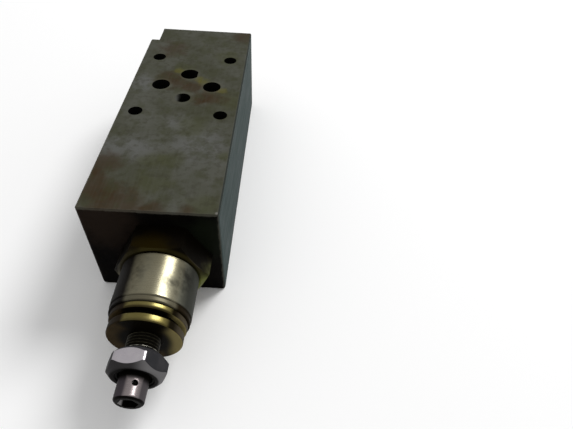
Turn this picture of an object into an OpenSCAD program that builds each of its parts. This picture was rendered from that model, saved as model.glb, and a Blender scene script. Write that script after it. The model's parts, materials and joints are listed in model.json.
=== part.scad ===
// Pressure valve in sandwich plate form: a ported block that is clamped between a subplate and the valve
// above it, with a spring adjuster screwed into its front end and a spool along its length.
// Origin at the centre of the screw hole pattern on the bottom face, +Z up, adjuster towards -Y, millimetres.

/* [Block] */
// Width of the block, across ports P and T
body_w = 45.2; // [44:0.1:50]
// Height of the block between its two mounting faces
body_h = 40; // [38:0.5:48]
// Length from the hole pattern's centre to the front face
body_front = 72.4; // [68:0.2:86]
// Length from the hole pattern's centre to the rear face
body_back = 46.6; // [42:0.2:60]
// Round of the upright corners
corner_r = 1.2; // [0.5:0.1:2.5]
// Broken edge round the top and bottom faces
edge_break = 0.5; // [0.2:0.1:1.2]
// Round of the long bottom edge on the side of port P
foot_r_left = 2.4; // [1.2:0.1:3]
// Round of the long bottom edge on the side of port T
foot_r_right = 1.3; // [1.2:0.1:3]
// Width of the notch in the rear left corner
notch_w = 3.85; // [2:0.05:5]
// Length of that notch
notch_len = 11.3; // [6:0.1:14]

/* [Screw holes] */
// Distance between the front pair and the rear pair of screw holes
bolt_run = 40.5; // [40:0.1:42]
// Spacing of the rear pair
bolt_rear = 31; // [30:0.1:33]
// Spacing of the front pair
bolt_front = 32.5; // [31:0.1:34]
// Diameter of a screw hole
bolt_d = 5.4; // [5.2:0.1:6]

/* [Ports] */
// Distance between ports P and T
port_pt = 20.8; // [20:0.1:22]
// Distance between ports A and B
port_ab = 17.5; // [17:0.1:18.5]
// Offset of the ports from the hole pattern's centre, towards the adjuster
port_shift = 1.2; // [0.8:0.1:1.6]
// Diameter of ports P, T and A
port_d = 7.2; // [6:0.1:7.6]
// Diameter of the slanted drilling of port B
port_b_d = 6; // [5:0.1:7]
// Diameter of the seal seats in the bottom face
seat_d = 12.8; // [12:0.1:13]
// Depth of the seal seats
seat_depth = 1.4; // [1:0.1:2]
// Width of a face seal's squeezed section
face_seal_w = 1.9; // [1.5:0.1:2.4]

/* [Spool bore] */
// Offset of the spool's axis from the block's middle, towards port T
axis_shift = 3.7; // [3:0.1:5]
// Diameter of the spool bore
bore_d = 10; // [9:0.1:11]
// Diameter of the ring chambers at ports B and T
chamber_d = 14; // [12:0.1:15]
// Length of a ring chamber
chamber_len = 6; // [5:0.1:6.6]
// Wall left between the spool bore and the passage of port A
passage_wall = 2; // [1.5:0.1:2.4]
// Diameter of the drain drilling from the spring chamber to port T
drain_d = 2; // [1.5:0.1:2.4]
// Height above the spool's axis at which the drain reaches port T
drain_rise = 11; // [9:0.5:14]
// Angle of the drain's mouth round the spool's axis
drain_angle = 55; // [45:1:75]

/* [Spool] */
// Running clearance of the spool in its bore, on the radius
spool_clear = 0.02; // [0.01:0.005:0.05]
// Diameter of the spool's waist at port T
waist_d = 6.4; // [5.5:0.1:7.5]
// Length of land that closes port B at rest
spool_overlap = 1.4; // [1:0.1:1.8]
// Distance that the spool travels towards the spring
spool_stroke = 4; // [3:0.1:4.4]
// Diameter of the drilling along the spool
spool_drill_d = 2.5; // [2:0.1:3]
// Diameter of the cross hole that feeds it from port B
feed_hole_d = 1.6; // [1.2:0.1:2]
// Depth of the pressure balance grooves
balance_depth = 0.4; // [0.2:0.05:0.6]
// Width of the pressure balance grooves
balance_w = 0.5; // [0.3:0.1:0.8]
// Number of pressure balance grooves
balance_count = 3; // [2:1:4]
// Thread diameter of the damping orifice
orifice_d = 5; // [4:0.5:6]
// Length of the damping orifice
orifice_len = 6; // [4:0.5:8]
// Diameter of the orifice's own hole
orifice_hole_d = 0.8; // [0.5:0.1:1.2]

/* [Hexagon plug] */
// Width across the plug's flats
hex_af = 27; // [26:0.5:30]
// Length of the hexagon
hex_len = 9.6; // [8:0.1:12]
// Diameter of the plug's thread in the block
plug_thread_d = 22; // [21:0.1:24]
// Length of that thread
plug_thread_len = 14; // [10:0.5:18]
// Length of the spigot that carries the sleeve
plug_spigot_len = 7; // [6:0.1:8]
// Width of the plug's seal seat in the block, outside the thread
plug_seal_w = 1.5; // [1.2:0.05:1.5]
// Depth of that seat
plug_seal_depth = 1.8; // [1.4:0.1:2.2]
// Angle of the chamfer on the plug's hexagon
hex_chamfer = 30; // [20:1:40]
// Width of that chamfer at the middle of a flat
hex_chamfer_w = 0.4; // [0.2:0.05:0.8]

/* [Sleeve] */
// Outer diameter of the spring sleeve
sleeve_d = 25; // [24.6:0.1:26]
// Wall of the spring sleeve
sleeve_wall = 1.6; // [1.3:0.1:1.8]
// Length of the spring sleeve
sleeve_len = 15.3; // [14:0.1:20]
// Chamfer at both ends of the sleeve
sleeve_chamfer = 0.35; // [0.2:0.05:0.6]
// Width of the seal groove in the plug's spigot
sleeve_seal_w = 1.9; // [1.5:0.1:2.2]
// Depth of that groove
sleeve_seal_depth = 1.2; // [0.8:0.1:1.3]

/* [End bush] */
// Diameter of the thin seal washer
washer_d = 24.6; // [24:0.1:25]
// Thickness of the thin seal washer
washer_t = 1.6; // [1.2:0.1:2]
// Diameter of the rear band
band_rear_d = 23.4; // [22.8:0.1:24.4]
// Length of the rear band
band_rear_len = 2.2; // [1.8:0.1:3]
// Diameter at the bottom of the groove
groove_d = 19.6; // [18:0.1:21]
// Length of the groove
groove_len = 1.4; // [1:0.1:2]
// Diameter of the front band
band_front_d = 22.6; // [22.2:0.1:23.4]
// Length of the front band
band_front_len = 2.7; // [2.2:0.1:3.6]
// Round of the bands' edges
band_round = 0.5; // [0.3:0.05:1.1]
// Length of the bush's thread for the spindle
bush_thread_len = 5.8; // [5:0.1:7]
// Diameter of the bore for the spindle's shank
shank_bore_d = 13; // [12:0.1:14]
// Gap between the bush's spigot and the plug's spigot inside the sleeve
spigot_gap = 1.9; // [1.4:0.1:2.4]

/* [Spindle] */
// Thread diameter of the spindle
spindle_d = 9.8; // [9.2:0.1:10.4]
// Diameter of the plain tip
tip_d = 8.5; // [7.8:0.1:8.8]
// Length of the plain tip
tip_len = 7.65; // [7:0.05:9]
// Distance from the nut's front face back to the end of the spindle's thread
thread_sink = 0.8; // [0.6:0.1:1.4]
// Chamfer at the end of the tip
tip_chamfer = 0.55; // [0.4:0.05:1]
// Width across the flats of the spindle's socket
socket_af = 5; // [4:0.5:5]
// Depth of the spindle's socket
socket_depth = 4.5; // [3.5:0.1:5]
// Diameter of the cross hole for a seal wire
wire_hole_d = 1.8; // [1.2:0.1:2.4]
// Distance of the cross hole from the end of the tip
wire_hole_back = 4.25; // [3.4:0.05:5]
// Tilt of the cross hole from the vertical
wire_hole_tilt = 22; // [0:1:45]
// Travel of the spindle outwards to its stop
spindle_out = 3; // [2:0.1:3.4]
// Distance of the seal groove from the spindle's shoulder
shank_seal_back = 1; // [0.8:0.1:1.4]
// Width of the seal groove in the shank
shank_seal_w = 2; // [1.6:0.1:2.2]
// Depth of the seal groove in the shank
shank_seal_depth = 1.5; // [1.2:0.1:1.7]

/* [Lock nut] */
// Width across the nut's flats
nut_af = 15.8; // [15:0.1:17]
// Thickness of the nut
nut_t = 6.6; // [6:0.1:8]
// Angle of the chamfers on the nut
nut_chamfer = 45; // [30:1:50]
// Width of those chamfers at the middle of a flat
nut_chamfer_w = 1; // [0.4:0.05:1.2]
// Gap between the bush and the nut
nut_gap = 5.4; // [5.2:0.1:8]
// Turn of the nut about its axis
nut_turn = 6.5; // [0:0.5:30]
// Diameter of the recess for the nut's seal ring
nut_seal_d = 11.2; // [11:0.1:12]
// Depth of that recess
nut_seal_depth = 2; // [1.5:0.1:2.6]
// Distance that the seal ring stays below the nut's front face
nut_seal_sink = 0.4; // [0.2:0.1:0.8]

/* [Spring and plates] */
// Bore of the spring chamber
spring_bore_d = 17; // [16.4:0.1:17.4]
// Outer diameter of the spring
spring_d = 16; // [15:0.1:16.4]
// Wire diameter of the spring
wire_d = 2.8; // [2.2:0.1:3]
// Length of the spring as fitted
spring_len = 31; // [28:0.2:34]
// Number of open turns
spring_turns = 5; // [4:0.5:6]
// Thickness of the spring plates
plate_t = 3; // [2.5:0.1:3.6]
// Length of the plates' guide pegs inside the spring
peg_len = 4; // [3:0.1:6]
// Clearance of the spring plates in their bore, and of the spring on its pegs
plate_clear = 0.3; // [0.2:0.05:0.5]
// Room kept in front of the spring pad when the spindle is right out
pad_room = 0.7; // [0.4:0.1:1]
// Length of spool that stands in the spring chamber
spool_stand = 4.2; // [3.6:0.1:6]

/* [Rear plug] */
// Thread diameter of the rear plug
rear_thread_d = 14; // [13:0.1:16]
// Length of that thread
rear_thread_len = 12; // [10:0.5:16]
// Width of the rear plug's collar outside its seal seat
rear_collar_lip = 0.6; // [0.4:0.1:2]
// Thickness of the rear plug's collar
rear_collar_t = 3; // [2.5:0.1:4]
// Width across the flats of the rear plug's socket
rear_socket_af = 6; // [5:0.5:6]
// Depth of the rear plug's socket
rear_socket_depth = 6; // [4:0.5:7]
// Width of the rear plug's seal seat in the block, outside the thread
rear_seal_w = 1.9; // [1.5:0.1:2.2]
// Depth of that seat
rear_seal_depth = 1.5; // [1.2:0.1:2]
// Chamfer of the collar's edge
rear_chamfer = 0.5; // [0.3:0.1:1]
// Diameter of the control chamber in the plug's nose
nose_d = 6; // [5:0.1:8]
// Depth of the control chamber in the plug's nose
nose_depth = 1.5; // [1:0.1:2.5]

/* [Hidden] */
$fn = 72;

// Clearance on the radius of threads, which are drawn at their crests, and of static seals
thread_clear = 0.05;
// Clearance on the radius between a squeezed seal and its groove
seal_clear = 0.02;
// Extra length of a cutting shape past the face that it opens
past = 1;
// Free length behind the end of a blind thread
thread_runout = 1;
// Share of a seal section's smaller side that is rounded
seal_round = 0.42;
// Share of a band's length that the round of one edge may take
edge_share = 0.48;
// Extra radius of the shape that trims a hexagon's corners
trim_past = 0.2;
// Gap at the spindle's stop when it is right out
stop_gap = 0.2;
// Distance between pressure balance grooves
balance_pitch = 4;

// Ports and screw holes in plan
port_y = -port_shift;
a_at = [0, port_y + port_ab / 2];
b_at = [0, port_y - port_ab / 2];
p_at = [-port_pt / 2, port_y];
t_at = [port_pt / 2, port_y];
bolt_at = [
    [-bolt_rear / 2, bolt_run / 2],
    [bolt_rear / 2, bolt_run / 2],
    [-bolt_front / 2, -bolt_run / 2],
    [bolt_front / 2, -bolt_run / 2]
];

// The spool's axis and where port A passes it
axis_x = axis_shift;
axis_z = body_h / 2;
a_pass_x = axis_x - bore_d / 2 - passage_wall - port_d / 2;

// Stations along the axis, from the block's front face outwards
front_y = -body_front;
hex_y = front_y - hex_len;
sleeve_y = hex_y - sleeve_len;
washer_y = sleeve_y - washer_t;
band_rear_y = washer_y - band_rear_len;
groove_y = band_rear_y - groove_len;
bush_y = groove_y - band_front_len;
nut_back_y = bush_y - nut_gap;
nut_y = nut_back_y - nut_t;
thread_y = nut_y + thread_sink;
tip_y = thread_y - tip_len;

// Stations along the axis, inside the adjuster and the block
plug_end_y = front_y + plug_thread_len;
spigot_y = hex_y - plug_spigot_len;
bush_end_y = spigot_y - spigot_gap;
bush_step_y = bush_y + bush_thread_len;
shoulder_y = bush_step_y + spindle_out + stop_gap;
pad_y = bush_end_y + spindle_out + pad_room;
spring_y = pad_y + plate_t;
seat_y = spring_y + spring_len;
spool_y = seat_y + plate_t;
chamber_y = spool_y + spool_stand;
nose_y = body_back - rear_thread_len;
collar_y = body_back + rear_collar_t;

// Lands of the spool
b_edge_y = b_at.y + chamber_len / 2;
waist_front_y = b_edge_y + spool_overlap;
waist_rear_y = t_at.y + chamber_len / 2 + spool_overlap;
feed_y = b_at.y - chamber_len / 2 + spool_stroke + feed_hole_d / 2;
orifice_y = nose_y - orifice_len;

// Radii that several pieces share
bore_r = bore_d / 2;
spool_r = bore_r - spool_clear;
thread_r = spindle_d / 2;
nut_bore_r = thread_r + thread_clear;
sleeve_in_r = sleeve_d / 2 - sleeve_wall;
spigot_r = sleeve_in_r - thread_clear;
spring_bore_r = spring_bore_d / 2;
plate_r = spring_bore_r - plate_clear;
peg_r = spring_d / 2 - wire_d - plate_clear;
shank_bore_r = shank_bore_d / 2;
shank_r = shank_bore_r - thread_clear;
plug_seal_r = plug_thread_d / 2 + plug_seal_w;
rear_seal_r = rear_thread_d / 2 + rear_seal_w;
rear_collar_r = rear_seal_r + rear_collar_lip;
groove_r = groove_d / 2;

// Steps per turn and corners of the wire in the spring's mesh, and the small gaps at its turns and ends
coil_steps = 16;
coil_corners = 8;
coil_gap = 0.1;
coil_mean_r = (spring_d - wire_d) / 2;
coil_rise = spring_len - wire_d - 2 * coil_gap - 2 * (wire_d + coil_gap);
coil_rings = round((spring_turns + 2) * coil_steps);

// Colours of the finishes
steel_grey = [0.33, 0.33, 0.30];
gold = [0.72, 0.60, 0.30];
bright = [0.78, 0.78, 0.76];
zinc = [0.72, 0.71, 0.74];
dark_steel = [0.45, 0.43, 0.45];
rubber = [0.06, 0.06, 0.06];

// Places a shape that was drawn about +Z on the spool's axis, its own height becoming Y
module on_axis() {
    translate([axis_x, 0, axis_z])
        rotate([-90, 0, 0])
            children();
}

// Rod or bore on the axis between two stations
module rod(r, y_from, y_to) {
    on_axis()
        translate([0, 0, y_from])
            cylinder(r = r, h = y_to - y_from);
}

// Hexagon on the axis between two stations, with its flats up and down before it is turned
module hexagon(af, y_from, y_to, turn = 0) {
    on_axis()
        rotate([0, 0, -turn])
            translate([0, 0, y_from])
                cylinder(d = af / cos(30), h = y_to - y_from, $fn = 6);
}

// Turned shape that trims a hexagon's corners at one end or at both
module hexagon_trim(af, chamfer_w, angle, y_from, y_to, both_ends) {
    face_r = af / 2 - chamfer_w;
    outer_r = af / 2 / cos(30) + trim_past;
    rise = (outer_r - face_r) * tan(angle);
    front = [[0, y_from], [face_r, y_from], [outer_r, y_from + rise]];
    rear = both_ends
        ? [[outer_r, y_to - rise], [face_r, y_to], [0, y_to]]
        : [[outer_r, y_to], [0, y_to]];
    on_axis()
        rotate_extrude()
            polygon(concat(front, rear));
}

// Section of a ring with rounded outer edges
module ring_section(r_in, r_out, y_from, y_to, edge) {
    translate([r_in, y_from])
        square([r_out - edge - r_in, y_to - y_from]);
    translate([r_in, y_from + edge])
        square([r_out - r_in, y_to - y_from - 2 * edge]);
    for (y = [y_from + edge, y_to - edge])
        translate([r_out - edge, y])
            circle(r = edge);
}

// Section of a squeezed seal, rounded at all four edges
module seal_section(r_in, r_out, y_from, y_to) {
    wide = r_out - r_in;
    high = y_to - y_from;
    edge = seal_round * min(wide, high);
    translate([r_in + edge, y_from])
        square([wide - 2 * edge, high]);
    translate([r_in, y_from + edge])
        square([wide, high - 2 * edge]);
    for (r = [r_in + edge, r_out - edge])
        for (y = [y_from + edge, y_to - edge])
            translate([r, y])
                circle(r = edge);
}

// Seal ring on the axis
module axis_seal(r_in, r_out, y_from, y_to) {
    on_axis()
        rotate_extrude()
            seal_section(r_in + seal_clear, r_out - seal_clear, y_from + seal_clear, y_to - seal_clear);
}

// Straight drilling from one point to another
module drilling(from, to, d) {
    run = to - from;
    length = norm(run);
    translate(from)
        rotate([0, acos(run.z / length), atan2(run.y, run.x)])
            cylinder(d = d, h = length);
}

// Two slanted drillings of one port, from both mounting faces to a meeting point at mid height
module bent_port(at, meet_x, d) {
    slope = (meet_x - at.x) / axis_z;
    for (side = [-1, 1])
        drilling(
            [at.x - slope * past, at.y, axis_z + side * (axis_z + past)],
            [meet_x + slope * past, at.y, axis_z - side * past],
            d
        );
}

// Outline of the block in plan, with its corners rounded and the notch cut out
module block_plan() {
    difference() {
        union() {
            translate([-body_w / 2 + corner_r, front_y])
                square([body_w - 2 * corner_r, body_front + body_back]);
            translate([-body_w / 2, front_y + corner_r])
                square([body_w, body_front + body_back - 2 * corner_r]);
            for (x = [-body_w / 2 + corner_r, body_w / 2 - corner_r])
                for (y = [front_y + corner_r, body_back - corner_r])
                    translate([x, y])
                        circle(r = corner_r);
        }
        translate([-body_w / 2 - past, body_back - notch_len])
            square([notch_w + past, notch_len + past]);
    }
}

// Rectangle from a low corner to a high corner with its four corners broken
module broken_rectangle(low, high, edge) {
    polygon([
        [low.x + edge, low.y], [high.x - edge, low.y], [high.x, low.y + edge], [high.x, high.y - edge],
        [high.x - edge, high.y], [low.x + edge, high.y], [low.x, high.y - edge], [low.x, low.y + edge]
    ]);
}

// Section across the block, with broken top edges and rounded bottom edges
module block_section() {
    difference() {
        broken_rectangle([-body_w / 2, 0], [body_w / 2, body_h], edge_break);
        translate([-body_w / 2 - past, -past])
            square(foot_r_left + past);
        translate([body_w / 2 - foot_r_right, -past])
            square(foot_r_right + past);
    }
    translate([-body_w / 2 + foot_r_left, foot_r_left])
        circle(r = foot_r_left);
    translate([body_w / 2 - foot_r_right, foot_r_right])
        circle(r = foot_r_right);
}

// The block before drilling
module block() {
    intersection() {
        linear_extrude(body_h)
            block_plan();
        translate([0, body_back, 0])
            rotate([90, 0, 0])
                linear_extrude(body_front + body_back)
                    block_section();
        translate([-body_w / 2, 0, 0])
            rotate([90, 0, 90])
                linear_extrude(body_w)
                    broken_rectangle([front_y, 0], [body_back, body_h], edge_break);
    }
}

// Ported steel block
module valve_body() {
    drain_r = (bore_r + spring_bore_r) / 2;
    color(steel_grey)
        difference() {
            block();
            for (at = bolt_at)
                translate([at.x, at.y, -past])
                    cylinder(d = bolt_d, h = body_h + 2 * past);
            for (at = [p_at, t_at])
                translate([at.x, at.y, -past])
                    cylinder(d = port_d, h = body_h + 2 * past);
            bent_port(a_at, a_pass_x, port_d);
            bent_port(b_at, axis_x, port_b_d);
            for (at = [p_at, t_at, a_at, b_at])
                translate([at.x, at.y, -past])
                    cylinder(d = seat_d, h = seat_depth + past);
            rod(bore_r, chamber_y - past, nose_y + past);
            for (at = [b_at, t_at])
                rod(chamber_d / 2, at.y - chamber_len / 2, at.y + chamber_len / 2);
            rod(spring_bore_r, front_y - past, chamber_y);
            rod(plug_thread_d / 2 + thread_clear, front_y - past, plug_end_y + thread_runout);
            rod(plug_seal_r, front_y - past, front_y + plug_seal_depth);
            rod(rear_thread_d / 2 + thread_clear, nose_y, body_back + past);
            rod(rear_seal_r, body_back - rear_seal_depth, body_back + past);
            drilling(
                [axis_x + drain_r * cos(drain_angle), chamber_y - past, axis_z + drain_r * sin(drain_angle)],
                [t_at.x, t_at.y, axis_z + drain_rise],
                drain_d
            );
        }
}

// Hexagon plug with its thread in the block and its spigot for the sleeve
module hex_plug() {
    groove_front_y = hex_y - sleeve_seal_w;
    color(gold)
        difference() {
            union() {
                intersection() {
                    hexagon(hex_af, hex_y, front_y);
                    hexagon_trim(hex_af, hex_chamfer_w, hex_chamfer, hex_y, front_y, false);
                }
                rod(plug_thread_d / 2, front_y - past, plug_end_y);
                rod(spigot_r, spigot_y, hex_y + past);
            }
            rod(spring_bore_r, spigot_y - past, plug_end_y + past);
            difference() {
                rod(spigot_r + past, groove_front_y, hex_y);
                rod(spigot_r - sleeve_seal_depth, groove_front_y - past, hex_y + past);
            }
        }
}

// Turned barrel round the spring
module spring_sleeve() {
    out_r = sleeve_d / 2;
    color(bright)
        on_axis()
            rotate_extrude()
                polygon([
                    [sleeve_in_r, sleeve_y], [out_r - sleeve_chamfer, sleeve_y],
                    [out_r, sleeve_y + sleeve_chamfer], [out_r, hex_y - sleeve_chamfer],
                    [out_r - sleeve_chamfer, hex_y], [sleeve_in_r, hex_y]
                ]);
}

// Thin washer between the barrel and the end bush
module bush_seal_washer() {
    color(bright)
        on_axis()
            rotate_extrude()
                ring_section(sleeve_in_r, washer_d / 2, washer_y, sleeve_y, sleeve_chamfer);
}

// Round of a band's edges, no deeper than the groove beside it and no longer than the band allows
function band_edge(band_r, band_len) = min(band_round, band_r - groove_r, band_len * edge_share);

// End bush with two bands, the cap's groove and the spindle's thread
module end_bush() {
    rear_r = band_rear_d / 2;
    front_r = band_front_d / 2;
    color(gold)
        difference() {
            on_axis()
                rotate_extrude() {
                    ring_section(nut_bore_r, rear_r, band_rear_y, washer_y, band_edge(rear_r, band_rear_len));
                    translate([nut_bore_r, groove_y])
                        square([groove_r - nut_bore_r, groove_len]);
                    ring_section(nut_bore_r, front_r, bush_y, groove_y, band_edge(front_r, band_front_len));
                    translate([nut_bore_r, washer_y])
                        square([spigot_r - nut_bore_r, bush_end_y - washer_y]);
                }
            rod(shank_bore_r, bush_step_y, bush_end_y + past);
        }
}

// Adjusting screw with its tip, socket, wire hole and sealed shank
module adjusting_spindle() {
    seal_y = shoulder_y + shank_seal_back;
    tip_r = tip_d / 2;
    seal_r = shank_r - shank_seal_depth;
    color(dark_steel)
        difference() {
            on_axis()
                rotate_extrude()
                    polygon([
                        [0, tip_y], [tip_r - tip_chamfer, tip_y], [tip_r, tip_y + tip_chamfer],
                        [tip_r, thread_y], [thread_r, thread_y + thread_r - tip_r], [thread_r, shoulder_y],
                        [shank_r, shoulder_y], [shank_r, seal_y], [seal_r, seal_y],
                        [seal_r, seal_y + shank_seal_w], [shank_r, seal_y + shank_seal_w],
                        [shank_r, pad_y], [0, pad_y]
                    ]);
            hexagon(socket_af, tip_y - past, tip_y + socket_depth);
            translate([axis_x, tip_y + wire_hole_back, axis_z])
                rotate([0, wire_hole_tilt, 0])
                    cylinder(d = wire_hole_d, h = tip_d + past, center = true);
        }
}

// Hexagon nut on the spindle, chamfered on both faces
module lock_nut() {
    color(zinc)
        difference() {
            intersection() {
                hexagon(nut_af, nut_y, nut_back_y, nut_turn);
                hexagon_trim(nut_af, nut_chamfer_w, nut_chamfer, nut_y, nut_back_y, true);
            }
            rod(nut_bore_r, nut_y - past, nut_back_y + past);
            rod(nut_seal_d / 2, nut_y - past, nut_y + nut_seal_depth);
        }
}

// Seal ring in the nut's front recess
module nut_seal_ring() {
    seal_y = nut_y + nut_seal_depth;
    color(rubber)
        on_axis()
            rotate_extrude()
                translate([nut_bore_r, nut_y + nut_seal_sink])
                    square([nut_seal_d / 2 - seal_clear - nut_bore_r, seal_y - nut_y - nut_seal_sink]);
}

// Seal ring in the spindle's shank
module spindle_o_ring() {
    seal_y = shoulder_y + shank_seal_back;
    color(rubber)
        axis_seal(shank_r - shank_seal_depth, shank_r, seal_y, seal_y + shank_seal_w);
}

// Spring plate: a disc and a peg that points into the spring
module spring_plate(disc_from, disc_to, peg_from, peg_to) {
    rod(plate_r, disc_from, disc_to);
    rod(peg_r, peg_from, peg_to);
}

// Front spring plate, pushed by the spindle
module spring_pad() {
    color(bright)
        spring_plate(pad_y, spring_y, pad_y, spring_y + peg_len);
}

// Rear spring plate on the spool's end
module spool_spring_seat() {
    color(bright)
        spring_plate(seat_y, spool_y, seat_y - peg_len, spool_y);
}

// Height of the coil's centre line after a number of turns, with one closed turn at each end
function coil_height(turn) =
    let (closed = wire_d + coil_gap)
    turn < 1 ? closed * turn
    : turn > spring_turns + 1 ? closed + coil_rise + closed * (turn - spring_turns - 1)
    : closed + coil_rise * (turn - 1) / spring_turns;

// Compression spring between the two plates
module main_spring() {
    points = [
        for (ring = [0 : coil_rings])
            for (corner = [0 : coil_corners - 1])
                let (
                    turn = ring / coil_steps,
                    around = 360 * turn,
                    across = 360 * corner / coil_corners,
                    r = coil_mean_r + wire_d / 2 * cos(across)
                )
                [
                    r * cos(around),
                    r * sin(around),
                    spring_y + coil_gap + wire_d / 2 + coil_height(turn) + wire_d / 2 * sin(across)
                ]
    ];
    sides = [
        for (ring = [0 : coil_rings - 1])
            for (corner = [0 : coil_corners - 1])
                let (
                    next = (corner + 1) % coil_corners,
                    low = ring * coil_corners,
                    high = low + coil_corners
                )
                [low + corner, low + next, high + next, high + corner]
    ];
    first = [for (corner = [coil_corners - 1 : -1 : 0]) corner];
    last = [for (corner = [0 : coil_corners - 1]) coil_rings * coil_corners + corner];
    color(dark_steel)
        on_axis()
            polyhedron(points, concat(sides, [first], [last]));
}

// Spool with its waist at port T and its feed from port B to the rear end
module control_spool() {
    color(bright)
        difference() {
            rod(spool_r, spool_y, nose_y);
            difference() {
                rod(spool_r + past, waist_front_y, waist_rear_y);
                rod(waist_d / 2, waist_front_y - past, waist_rear_y + past);
            }
            for (i = [1 : balance_count])
                let (y = waist_front_y - chamber_len - spool_overlap - i * balance_pitch)
                difference() {
                    rod(spool_r + past, y, y + balance_w);
                    rod(spool_r - balance_depth, y - past, y + balance_w + past);
                }
            rod(spool_drill_d / 2, feed_y - spool_drill_d, nose_y + past);
            rod(orifice_d / 2 + thread_clear, orifice_y, nose_y + past);
            translate([axis_x, feed_y, axis_z])
                cylinder(d = feed_hole_d, h = bore_d + 2 * past, center = true);
        }
}

// Damping orifice in the spool's rear end
module damping_orifice() {
    color(gold)
        difference() {
            rod(orifice_d / 2, orifice_y, nose_y);
            rod(orifice_hole_d / 2, orifice_y - past, nose_y + past);
        }
}

// Seal ring between the hexagon plug and the block
module hex_plug_o_ring() {
    color(rubber)
        axis_seal(plug_thread_d / 2, plug_seal_r, front_y, front_y + plug_seal_depth);
}

// Seal ring between the plug's spigot and the sleeve
module sleeve_o_ring() {
    color(rubber)
        axis_seal(spigot_r - sleeve_seal_depth, sleeve_in_r, hex_y - sleeve_seal_w, hex_y);
}

// Collared screw plug that closes the spool bore
module rear_plug() {
    color(dark_steel)
        difference() {
            on_axis()
                rotate_extrude()
                    polygon([
                        [0, nose_y], [rear_thread_d / 2, nose_y], [rear_thread_d / 2, body_back],
                        [rear_collar_r, body_back], [rear_collar_r, collar_y - rear_chamfer],
                        [rear_collar_r - rear_chamfer, collar_y], [0, collar_y]
                    ]);
            hexagon(rear_socket_af, collar_y - rear_socket_depth, collar_y + past);
            rod(nose_d / 2, nose_y - past, nose_y + nose_depth);
        }
}

// Seal ring under the rear plug's collar
module rear_plug_o_ring() {
    color(rubber)
        axis_seal(rear_thread_d / 2, rear_seal_r, body_back - rear_seal_depth, body_back);
}

// Face seal in a seat of the bottom face
module port_o_ring(at) {
    out_r = seat_d / 2 - seal_clear;
    color(rubber)
        translate([at.x, at.y, 0])
            rotate_extrude()
                seal_section(out_r - face_seal_w, out_r, seal_clear, seat_depth - seal_clear);
}

// Face seal of port P
module p_port_o_ring() {
    port_o_ring(p_at);
}

// Face seal of port T
module t_port_o_ring() {
    port_o_ring(t_at);
}

// Face seal of port A
module a_port_o_ring() {
    port_o_ring(a_at);
}

// Face seal of port B
module b_port_o_ring() {
    port_o_ring(b_at);
}

valve_body();
hex_plug();
spring_sleeve();
bush_seal_washer();
end_bush();
adjusting_spindle();
lock_nut();
nut_seal_ring();
spindle_o_ring();
spring_pad();
main_spring();
spool_spring_seat();
control_spool();
damping_orifice();
hex_plug_o_ring();
sleeve_o_ring();
rear_plug();
rear_plug_o_ring();
p_port_o_ring();
t_port_o_ring();
a_port_o_ring();
b_port_o_ring();
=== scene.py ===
"""Looks of a hydraulic sandwich valve: an oil stained steel block with a gold spring adjuster."""
import json
import math

import bmesh
import bpy
from mathutils import Matrix, Vector


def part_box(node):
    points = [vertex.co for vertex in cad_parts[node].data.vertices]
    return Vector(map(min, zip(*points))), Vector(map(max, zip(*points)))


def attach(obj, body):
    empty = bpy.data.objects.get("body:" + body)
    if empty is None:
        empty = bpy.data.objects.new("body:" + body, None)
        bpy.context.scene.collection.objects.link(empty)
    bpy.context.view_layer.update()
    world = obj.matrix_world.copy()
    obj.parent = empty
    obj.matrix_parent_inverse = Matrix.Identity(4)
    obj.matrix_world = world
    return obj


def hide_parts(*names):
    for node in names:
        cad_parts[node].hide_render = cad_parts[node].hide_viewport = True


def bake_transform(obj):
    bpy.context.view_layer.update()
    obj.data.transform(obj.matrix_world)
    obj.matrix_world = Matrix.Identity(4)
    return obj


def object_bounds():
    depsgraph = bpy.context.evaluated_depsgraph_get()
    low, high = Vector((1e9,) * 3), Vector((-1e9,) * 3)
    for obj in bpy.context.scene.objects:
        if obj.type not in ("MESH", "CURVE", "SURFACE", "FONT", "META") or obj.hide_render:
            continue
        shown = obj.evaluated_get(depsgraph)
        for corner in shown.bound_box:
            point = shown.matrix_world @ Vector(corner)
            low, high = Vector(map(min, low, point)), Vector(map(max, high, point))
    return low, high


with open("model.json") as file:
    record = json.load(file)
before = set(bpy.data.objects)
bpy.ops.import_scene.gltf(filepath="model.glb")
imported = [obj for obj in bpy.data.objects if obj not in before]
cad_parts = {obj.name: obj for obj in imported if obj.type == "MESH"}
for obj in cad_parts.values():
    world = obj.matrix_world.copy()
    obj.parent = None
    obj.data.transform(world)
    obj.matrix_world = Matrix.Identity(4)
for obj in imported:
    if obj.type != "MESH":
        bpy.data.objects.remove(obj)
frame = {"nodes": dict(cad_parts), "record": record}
cad_low, cad_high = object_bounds()
NODES = frame["nodes"]
MM = 0.001

# Points closer than this are one point, and points this close to the spring's middle lie on it
SAME_POINT = 0.0005 * MM
ON_MIDDLE = 0.01 * MM

# Edges with a sharper turn than this stay sharp, in degrees
SHARP_TURN = 40

# Shares of a side that a rounded corner and the point beside it may take
ROUND_SHARE = 0.4
HOLD_SHARE = 0.05

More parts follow.
